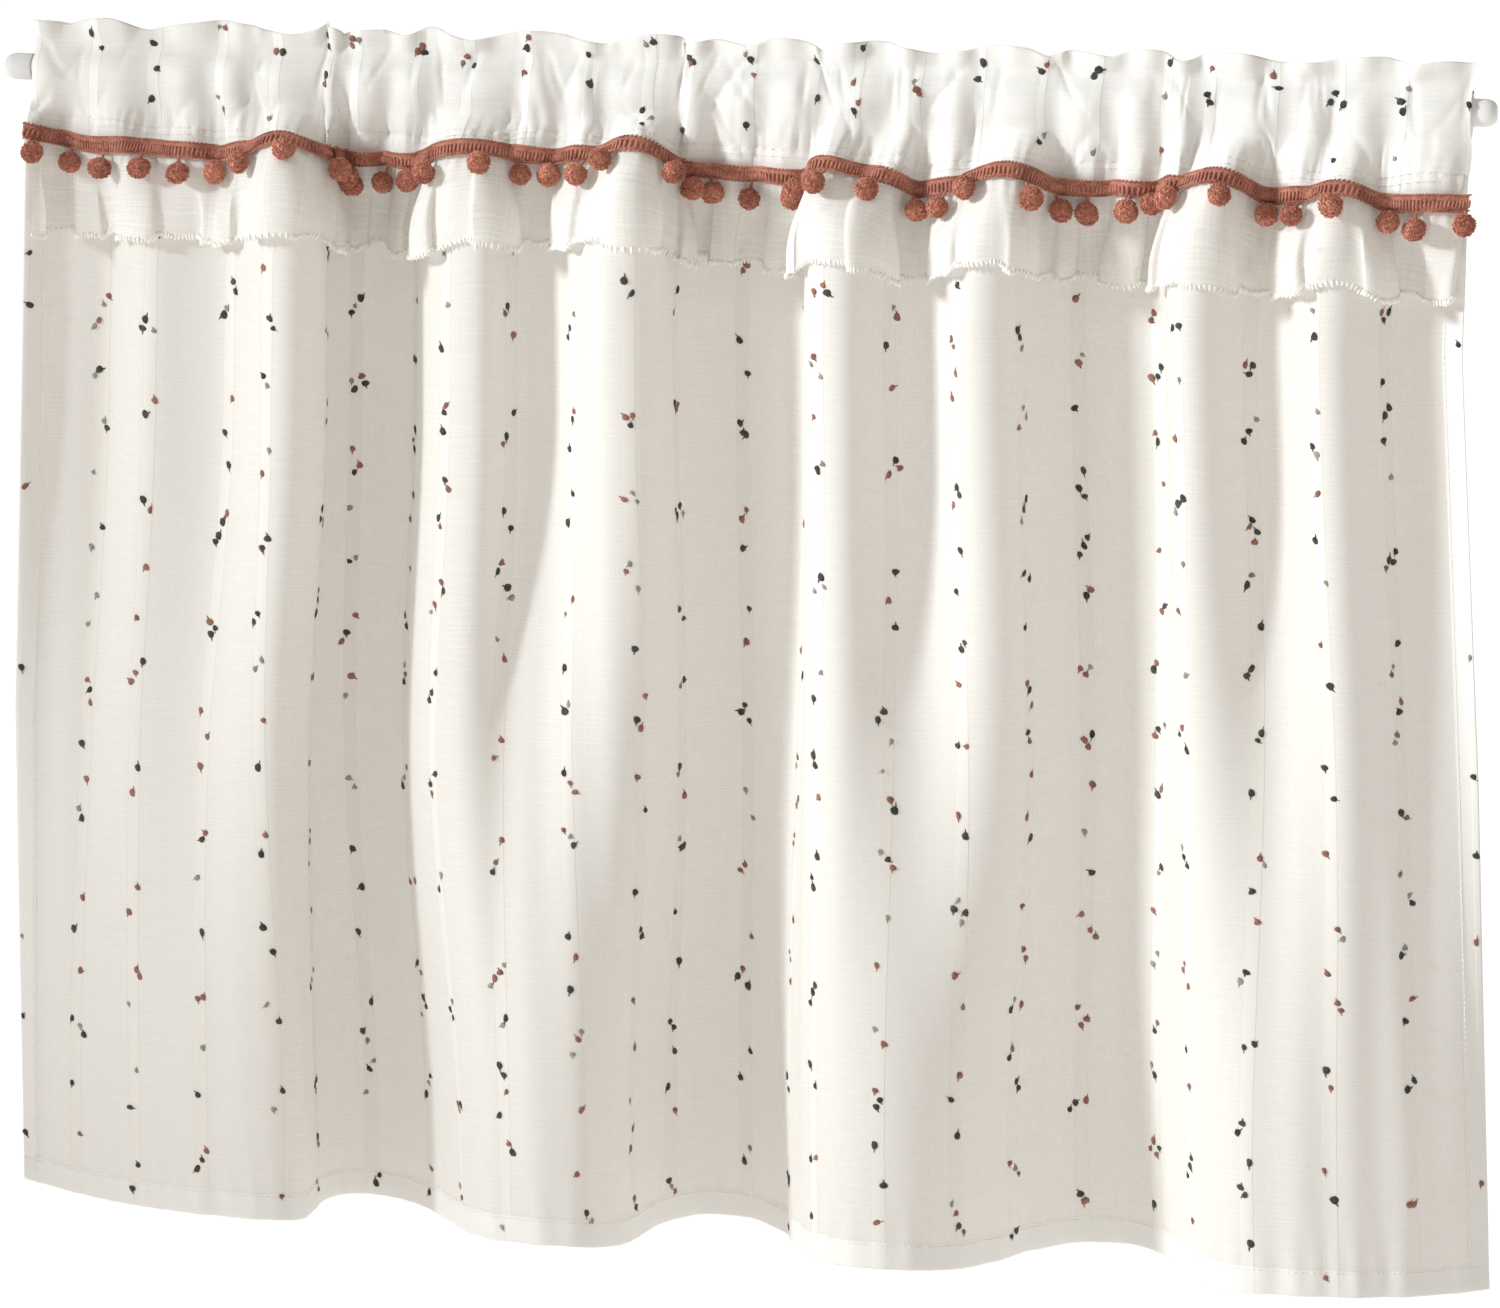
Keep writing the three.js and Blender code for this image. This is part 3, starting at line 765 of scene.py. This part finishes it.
fuzz = puffs.set_on(spread, tuft, turned, tuft_size)
ball = puffs.join(core, fuzz)
any_turn = puffs.node(
    "FunctionNodeRandomValue",
    {"data_type": "FLOAT_VECTOR"},
    {"Min": (-3, -3, -3), "Max": (3, 3, 3), "Seed": puffs.given("Seed") + 2},
)
radius = puffs.node("ShaderNodeCombineXYZ", None, {axis: puffs.given("Radius") for axis in "XYZ"})
ball_size = puffs.uneven(radius, puffs.given("Uneven"), 3)
puffs.finish(puffs.set_on(puffs.given("Geometry"), ball, any_turn, ball_size), 4.0)

pompom_across = np.linspace(POMPOM_FIRST, POMPOM_LAST, POMPOMS) * STRIPE_SPACE
pompom_drop = POMPOM_DROP + random.uniform(-2, 1.5, POMPOMS)
pompom_middles, _ = hang.at(pompom_across, pompom_drop, POMPOM_OFF)
pompom_roots, pompom_outs = hang.at(pompom_across, CORD_DROP, CORD_OFF)
pompoms = grow(
    "pompoms", puffs, pompom_middles, pompom_outs, pompom_outs,
    radius=POMPOM_RADIUS * MM, uneven=0.09, tuft=0.12, fuzz=0.45, lumps=1.1 * MM, seed=21, material=wool,
)
fall_share = np.linspace(0, 0.75, 8)[:, None, None]
cord_points = pompom_roots + (pompom_middles - pompom_roots) * fall_share
cord_runs = np.broadcast_to(pompom_middles - pompom_roots, cord_points.shape)
cord_outs = np.broadcast_to(pompom_outs, cord_points.shape)
cord_twist = 0.6 * np.cross(cord_runs, cord_outs)
pompom_cords = grow(
    "pompom_cords", beads, cord_points, cord_outs, cord_runs + cord_twist,
    size=(1.6 * MM, 1.4 * MM, 2.6 * MM), uneven=0.1, lumps=0.15 * MM, seed=22, material=braid_cotton,
)

# The dots: tufts of thicker yarn, charcoal, terracotta and pale grey, worked into the satin stripes.
# Each is a flat bud with two lobes and a short loose end.
DOT_STEP = (25, 66)
CLUSTER_SHARE = 0.3
DOT_ASIDE = 2.2
DOT_SIZE = (1.0, 3.9, 4.5)
# Each yarn's dark and light tone, its share of the dots, and its size beside the largest
DOT_YARNS = {
    "charcoal": ((0.024, 0.022, 0.019), (0.100, 0.092, 0.080), 0.46, 1.0),
    "terracotta": ((0.19, 0.076, 0.054), (0.40, 0.19, 0.138), 0.37, 0.92),
    "grey": ((0.20, 0.185, 0.16), (0.42, 0.39, 0.34), 0.17, 0.78),
}
dots_tree = Tree("dots", {"Size": "Vector", "Uneven": "Float"})
bud = dots_tree.node("GeometryNodeMeshUVSphere", None, {"Segments": 8, "Rings": 4, "Radius": 0.42})
lobe = dots_tree.node("GeometryNodeMeshIcoSphere", None, {"Subdivisions": 1, "Radius": 0.27})
loose_end = dots_tree.node(
    "GeometryNodeMeshCone",
    None,
    {"Vertices": 3, "Radius Top": 0.03, "Radius Bottom": 0.13, "Depth": 0.36},
)
bud_parts = [bud]
for part, place, turn in (
    (lobe, (0, 0.2, -0.17), 0), (lobe, (0, -0.22, 0.02), 0), (loose_end, (0, 0.05, 0.4), 0.25),
):
    placed = {"Geometry": part, "Translation": place, "Rotation": (turn, 0, 0)}
    bud_parts.append(dots_tree.node("GeometryNodeTransform", None, placed))
dot_size = dots_tree.uneven(dots_tree.given("Size"), dots_tree.given("Uneven"), 0)
dots_laid = dots_tree.set_on(
    dots_tree.given("Geometry"), dots_tree.join(*bud_parts), dots_tree.along(), dot_size
)
dots_tree.finish(dots_laid, 2.2)


def scatter_dots(top, bottom):
    """Flat places of the dots on both sides of each stripe, and the yarn of each."""
    names = list(DOT_YARNS)
    shares = [row[2] for row in DOT_YARNS.values()]
    found = []
    for stripe in range(BAYS + 1):
        for side in (-1, 1):
            drop = top + random.uniform(0, DOT_STEP[0])
            while drop < bottom:
                spot = stripe * STRIPE_SPACE + side * DOT_ASIDE + random.normal(0, 0.7)
                found.append((spot, drop, random.choice(names, p=shares)))
                if random.random() < CLUSTER_SHARE:
                    spot = spot + random.choice([-1, 1]) * random.uniform(1.4, 3.2)
                    lower = drop + random.uniform(3.2, 5.2)
                    found.append((spot, lower, random.choice(names, p=shares)))
                drop += random.uniform(*DOT_STEP)
    return [spot for spot in found if 2 < spot[0] < FLAT_WIDTH - 2 and spot[1] < bottom]


def lay_dots(surface, found, relief=None):
    """Points and directions of the dots on a surface, by yarn."""
    laid = {}
    for name in DOT_YARNS:
        spots = np.array([spot[:2] for spot in found if spot[2] == name])
        across, drop = spots.T
        off = 0.25 + (relief(across, drop) if relief else 0)
        points, run, fall, normal = thread_line(surface, across, drop, off)
        angle = random.normal(0, 0.6, len(spots)) + random.choice([0, math.pi], len(spots))
        angle = angle[:, None]
        laid[name] = (points, normal, fall * np.cos(angle) + run * np.sin(angle))
    return laid


panel_dots = lay_dots(hang, scatter_dots(44, PANEL_BOTTOM - 6), panel_relief)
front_dots = lay_dots(heading_front, scatter_dots(HEADING_TOP + 3, POCKET_SEAM - 3))
back_dots = lay_dots(heading_back, scatter_dots(HEADING_TOP + 3, POCKET_SEAM - 3))
for name, (dark, light, _, share) in DOT_YARNS.items():
    points, out, run = join_lines(panel_dots[name], front_dots[name], back_dots[name])
    dots = grow(
        "dots_" + name, dots_tree, points, out, run,
        size=tuple(side * share * MM for side in DOT_SIZE), uneven=0.24, lumps=0.9 * MM, seed=31,
        material=yarn(name + " dot yarn", dark, light, 1400),
    )

# The rod: a slim steel tube in white enamel, which runs through the pocket and is held at its ends by
# the window's sides or two holders. A moulded plastic cap closes each end.
ROD_RADIUS = 6.35
ROD_START = 15
ROD_LENGTH = 749
CAP_RADIUS = 6.7
CAP_FACE = 3
CAP_DOME = 6
CAP_LENGTH = 14.65


def enamel(name, colour, roughness, coat):
    """A smooth white finish with faint ripples and a few duller, handled patches."""
    material, output, start = new_material(name)
    place = start.node("ShaderNodeTexCoord", output="Object")
    handled = place.noise(60, 4.0, 0.6).ramp(0.35, 0.7)
    ripple = place.noise(420, 2.0, 0.5)
    relief = {"Strength": 0.12, "Distance": 0.2 * MM, "Height": ripple}
    bump = start.node("ShaderNodeBump", None, relief, "Normal")
    shader = start.node(
        "ShaderNodeBsdfPrincipled",
        None,
        {
            "Base Color": handled.blend(colour, tuple(0.94 * c for c in colour)),
            "Roughness": roughness + handled * 0.14,
            "Coat Weight": coat,
            "Normal": bump,
        },
    )
    material.node_tree.links.new(shader.socket, output.inputs["Surface"])
    return material


def turned_piece(name, profile, material):
    """A round piece about the rod's axis, from pairs of a place along it and a radius."""
    count = 64
    turns = np.linspace(0, 2 * math.pi, count, endpoint=False)
    points = []
    for x, radius in profile:
        points.extend((x, radius * math.cos(turn), radius * math.sin(turn)) for turn in turns)
    faces = []
    for row in range(len(profile) - 1):
        for i in range(count):
            j = (i + 1) % count
            faces.append([row * count + i, (row + 1) * count + i, (row + 1) * count + j, row * count + j])
    faces.append(list(range(count)))
    faces.append([len(points) - 1 - i for i in range(count)])
    mesh = bpy.data.meshes.new(name)
    mesh.from_pydata((np.array(points) * MM).tolist(), [], faces)
    mesh.materials.append(material)
    mesh.shade_smooth()
    piece = bpy.data.objects.new(name, mesh)
    bpy.context.scene.collection.objects.link(piece)
    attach(piece, "root")
    return piece


rod_steps = np.linspace(ROD_START + 0.4, ROD_LENGTH - ROD_START - 0.4, 40)
rod_profile = [(ROD_START, ROD_RADIUS - 0.4)] + [(x, ROD_RADIUS) for x in rod_steps]
rod_profile = rod_profile + [(ROD_LENGTH - ROD_START, ROD_RADIUS - 0.4)]
rod = turned_piece("rod_tube", rod_profile, enamel("white enamel", (0.83, 0.82, 0.80), 0.32, 0.4))
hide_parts("rod")
dome = [
    (CAP_DOME * (1 - math.cos(turn)), CAP_FACE + (CAP_RADIUS - CAP_FACE) * math.sin(turn))
    for turn in np.linspace(0, math.pi / 2, 14)
]
rim = [
    (CAP_LENGTH - 0.5, CAP_RADIUS),
    (CAP_LENGTH - 0.15, CAP_RADIUS - 0.15),
    (CAP_LENGTH, CAP_RADIUS - 0.5),
]
cap_profile = [(0, CAP_FACE - 0.4)] + dome + rim
cap_plastic = enamel("matt white plastic", (0.81, 0.80, 0.78), 0.5, 0.0)
left_cap = turned_piece("rod_end_left", cap_profile, cap_plastic)
right_profile = [(ROD_LENGTH - x, radius) for x, radius in cap_profile[::-1]]
right_cap = turned_piece("rod_end_right", right_profile, cap_plastic)
for cap, node in ((left_cap, "rod_cap_left"), (right_cap, "rod_cap_right")):
    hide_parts(node)

# The camera, on a long lens a little above the rod and to its right, and a pale floor far below. The
# floor glows a little, so that it stays as white as the photo's ground.
CAMERA_AZIMUTH = math.radians(13.32)
CAMERA_ELEVATION = math.radians(13.11)
CAMERA_DISTANCE = 2997
CAMERA_TARGET = np.array([384.19, 0, -283.32])
away = Vector((
    math.sin(CAMERA_AZIMUTH) * math.cos(CAMERA_ELEVATION),
    -math.cos(CAMERA_AZIMUTH) * math.cos(CAMERA_ELEVATION),
    math.sin(CAMERA_ELEVATION),
))
camera = bpy.data.objects.new("camera", bpy.data.cameras.new("camera"))
bpy.context.scene.collection.objects.link(camera)
camera.data.lens = 144
camera.data.sensor_width = 36
camera.data.clip_end = 100
camera.location = Vector(CAMERA_TARGET * MM) + away * CAMERA_DISTANCE * MM
camera.rotation_mode = "QUATERNION"
camera.rotation_quaternion = (-away).to_track_quat("-Z", "Y")
bpy.context.scene.camera = camera

FLOOR_DROP = 1050
FLOOR_REACH = 60000
floor_material, floor_output, floor_start = new_material("pale floor")
floor_shader = floor_start.node(
    "ShaderNodeBsdfPrincipled",
    None,
    {"Base Color": (0.9, 0.9, 0.9, 1), "Roughness": 0.95, "Specular IOR Level": 0.1,
     "Emission Color": (1, 1, 1, 1), "Emission Strength": 0.62},
)
floor_material.node_tree.links.new(floor_shader.socket, floor_output.inputs["Surface"])
ways = ((-1, -1), (1, -1), (1, 1), (-1, 1))
corners = [(x * FLOOR_REACH, y * FLOOR_REACH, -FLOOR_DROP) for x, y in ways]
floor = to_piece("floor", corners, [(0, 1, 2, 3)], floor_material)

# The key light: a wide soft beam from the left and a little above. It is aimed past the curtain's right
# side, so that the beam's rim leaves the lower left in shade.
KEY_AZIMUTH = math.radians(-62)
KEY_ELEVATION = math.radians(20)
KEY_DISTANCE = 5000
KEY_AIM = (1125, 0, -390)
KEY_BEAM = 700
towards_key = Vector((
    math.sin(KEY_AZIMUTH) * math.cos(KEY_ELEVATION),
    -math.cos(KEY_AZIMUTH) * math.cos(KEY_ELEVATION),
    math.sin(KEY_ELEVATION),
))
key_lamp = bpy.data.lights.new("key", "SPOT")
key_lamp.energy = 785
key_lamp.color = (0.90, 0.955, 1)
key_lamp.spot_size = 2 * math.atan(KEY_BEAM / KEY_DISTANCE)
key_lamp.spot_blend = 0.15
key_lamp.shadow_soft_size = 300 * MM
key = bpy.data.objects.new("key", key_lamp)
key.location = Vector(KEY_AIM) * MM + towards_key * KEY_DISTANCE * MM
key.rotation_mode = "QUATERNION"
key.rotation_quaternion = (-towards_key).to_track_quat("-Z", "Y")
bpy.context.scene.collection.objects.link(key)

# The studio's ceiling and left wall are bright and its other walls are dim, which whitens the floor and
# shades the folds on their right sides
CEILING = 0.71
LEFT_WALL = 0.14
WALLS = 0.065
STUDIO_COLOUR = (1, 0.945, 0.875)
world = bpy.data.worlds.new("studio")
world.use_nodes = True
sky = Signal(world.node_tree)
direction = sky.node("ShaderNodeTexCoord", output="Generated")
height = sky.node("ShaderNodeSeparateXYZ", None, {0: direction}, "Z")
leftward = 0 - height.other("X")
overhead = height.ramp(0.1, 0.9) * (CEILING - WALLS)
strength = overhead + leftward.ramp(0.2, 0.9) * LEFT_WALL + WALLS
background = world.node_tree.nodes["Background"]
world.node_tree.links.new(strength.socket, background.inputs["Strength"])
background.inputs["Color"].default_value = (*STUDIO_COLOUR, 1)
bpy.context.scene.world = world
bpy.context.scene.view_settings.view_transform = "Standard"
